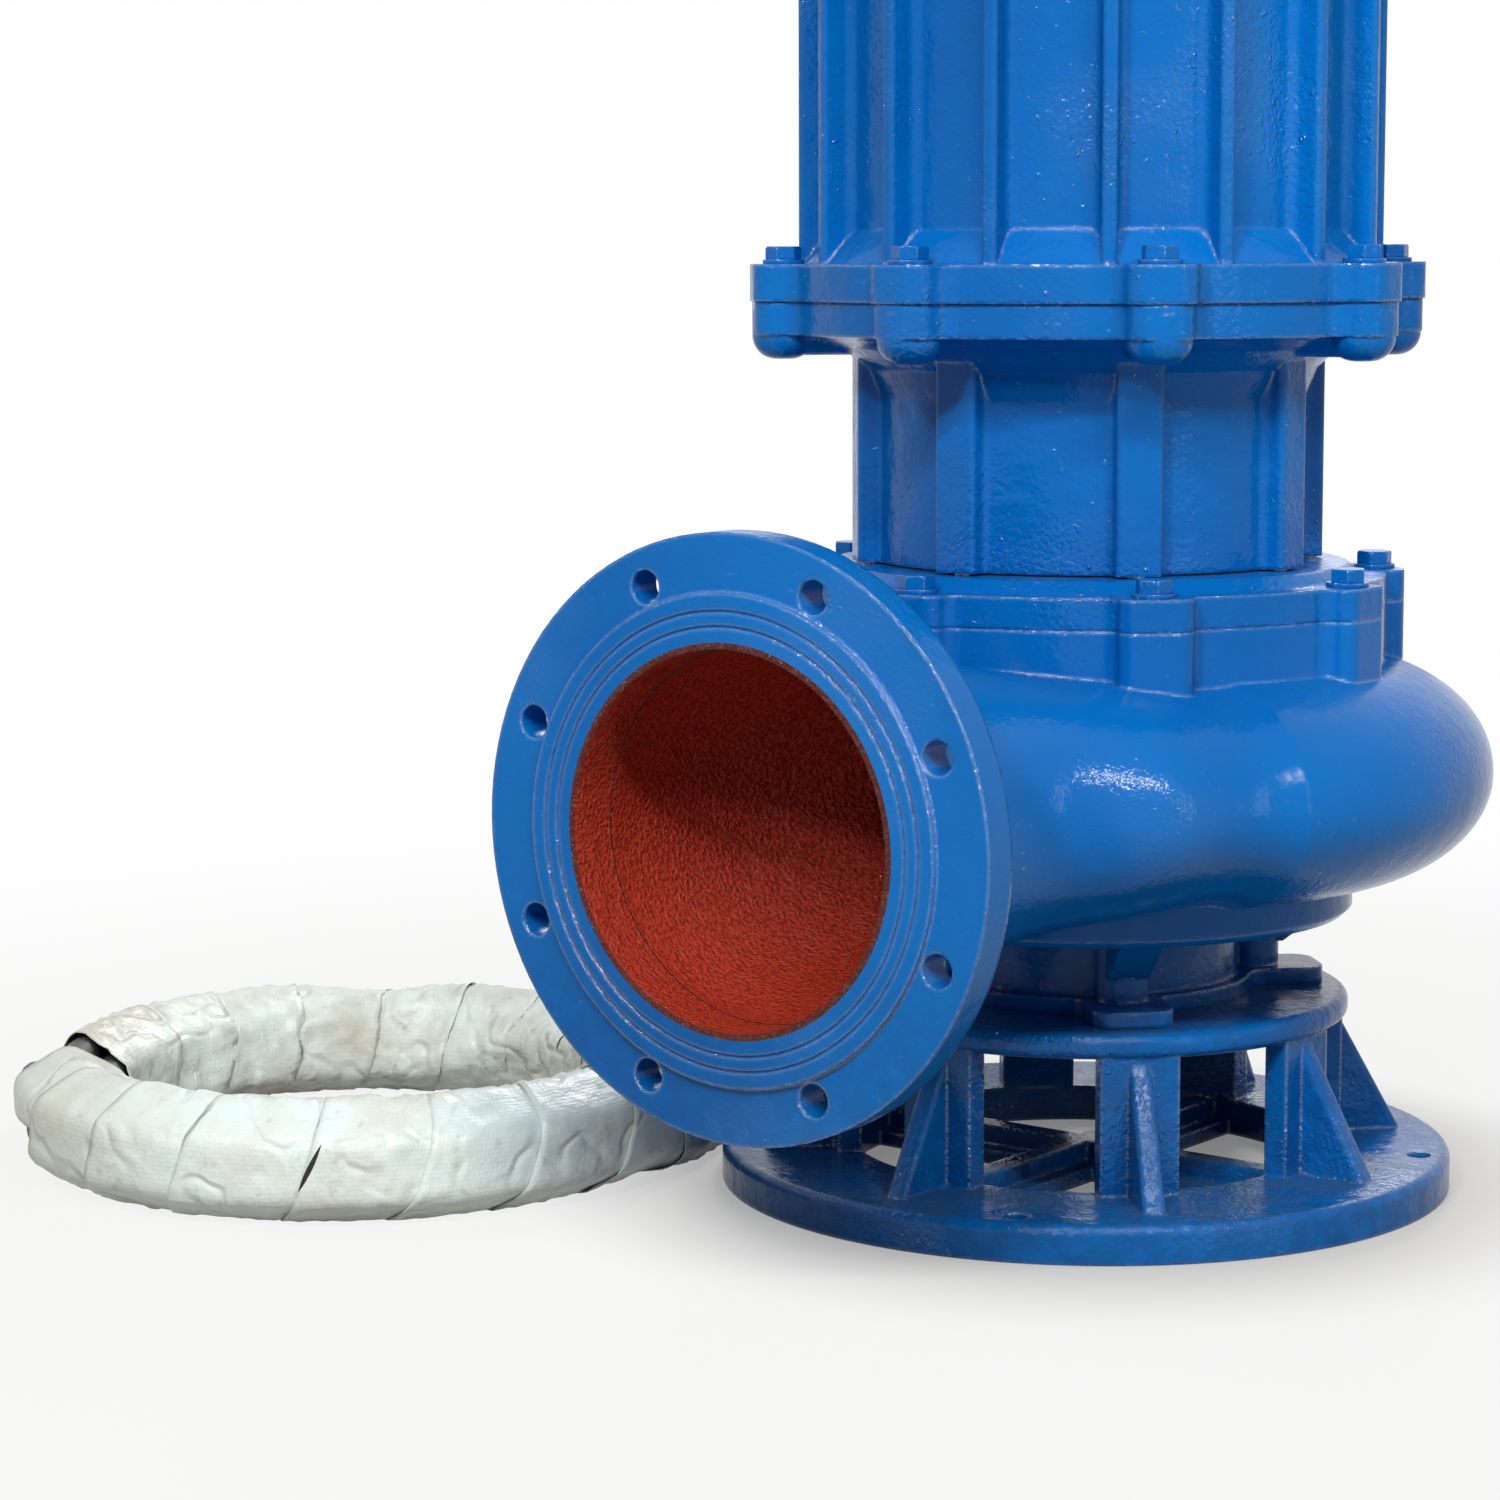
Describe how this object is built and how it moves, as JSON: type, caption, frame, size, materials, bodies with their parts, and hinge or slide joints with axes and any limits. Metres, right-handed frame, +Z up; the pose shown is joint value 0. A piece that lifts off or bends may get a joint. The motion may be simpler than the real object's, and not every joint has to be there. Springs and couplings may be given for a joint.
{
  "type": "submersible sewage pump",
  "caption": "Upright submersible sewage pump: ribbed motor above a spiral casing with a flanged side outlet, on a round legged base, its cable coiled beside it.",
  "frame": {"origin": "centre of the base plate's bolt circle, on its underside", "axes": "+Z up along the shaft, -Y out of the discharge flange, +X to the right seen from the flange's side"},
  "size_m": [0.8425, 0.7463, 1.112],
  "materials": {
    "blue_enamel": "glossy enamel over castings",
    "bronze": "turned",
    "rubber": "matt",
    "gasket": "matt sheet",
    "steel": "machined",
    "dark_iron": "laminated or cast, oiled",
    "copper": "varnished winding",
    "terminal_plastic": "moulded",
    "end_ring_alloy": "cast",
    "impeller_iron": "red primer over iron",
    "seal_carbide": "lapped",
    "cable_rubber": "satin",
    "woven_wrap": "woven plastic strip"
  },
  "bodies": {
    "housing": {"base_stand": "blue_enamel", "stand_bolts": "blue_enamel", "volute_casing": "blue_enamel", "wear_ring": "bronze", "pump_cover": "blue_enamel", "cover_o_ring": "rubber", "cover_bolts": "blue_enamel", "cover_washers": "blue_enamel", "housing_gasket": "gasket", "housing_screws": "steel", "oil_housing": "blue_enamel", "oil_plug": "blue_enamel", "leak_probe": "blue_enamel", "frame_o_ring": "rubber", "frame_bolts": "blue_enamel", "frame_washers": "blue_enamel", "motor_frame": "blue_enamel", "stator_core": "dark_iron", "stator_winding": "copper", "upper_bracket": "blue_enamel", "top_cover": "blue_enamel", "top_bolts": "blue_enamel", "top_washers": "blue_enamel", "lifting_eyes": "steel", "cable_gland": "blue_enamel", "gland_sleeve": "rubber", "gland_clamp": "blue_enamel", "gland_bolts": "steel", "terminal_block": "terminal_plastic", "lower_seal_seat": "seal_carbide", "upper_seal_seat": "seal_carbide", "lower_bearing_outer": "steel", "bearing_retainer": "dark_iron", "upper_bearing_outer": "steel", "wave_spring": "steel", "cable_run": "cable_rubber", "cable_coil": "woven_wrap"},
    "rotor": {"shaft": "steel", "rotor_core": "dark_iron", "rotor_end_rings": "end_ring_alloy", "impeller": "impeller_iron", "impeller_key": "steel", "impeller_cap": "steel", "impeller_bolt": "steel", "lower_seal_ring": "seal_carbide", "lower_seal_bellows": "rubber", "upper_seal_ring": "seal_carbide", "upper_seal_bellows": "rubber", "lower_bearing_inner": "steel", "upper_bearing_inner": "steel"},
    "lower_cage": {"lower_bearing_balls": "steel"},
    "upper_cage": {"upper_bearing_balls": "steel"}
  },
  "joints": [
    {"name": "rotor_spin", "type": "hinge", "parent": "housing", "child": "rotor", "pos_m": [0, 0, 0.6], "axis": [0, 0, 1], "continuous": true},
    {"name": "lower_cage_spin", "type": "hinge", "parent": "housing", "child": "lower_cage", "pos_m": [0, 0, 0.4555], "axis": [0, 0, 1], "continuous": true},
    {"name": "upper_cage_spin", "type": "hinge", "parent": "housing", "child": "upper_cage", "pos_m": [0, 0, 0.9235], "axis": [0, 0, 1], "continuous": true}
  ],
  "couplings": [
    {"joint": "lower_cage_spin", "follows": "rotor_spin", "ratio": 0.395},
    {"joint": "upper_cage_spin", "follows": "rotor_spin", "ratio": 0.394}
  ]
}
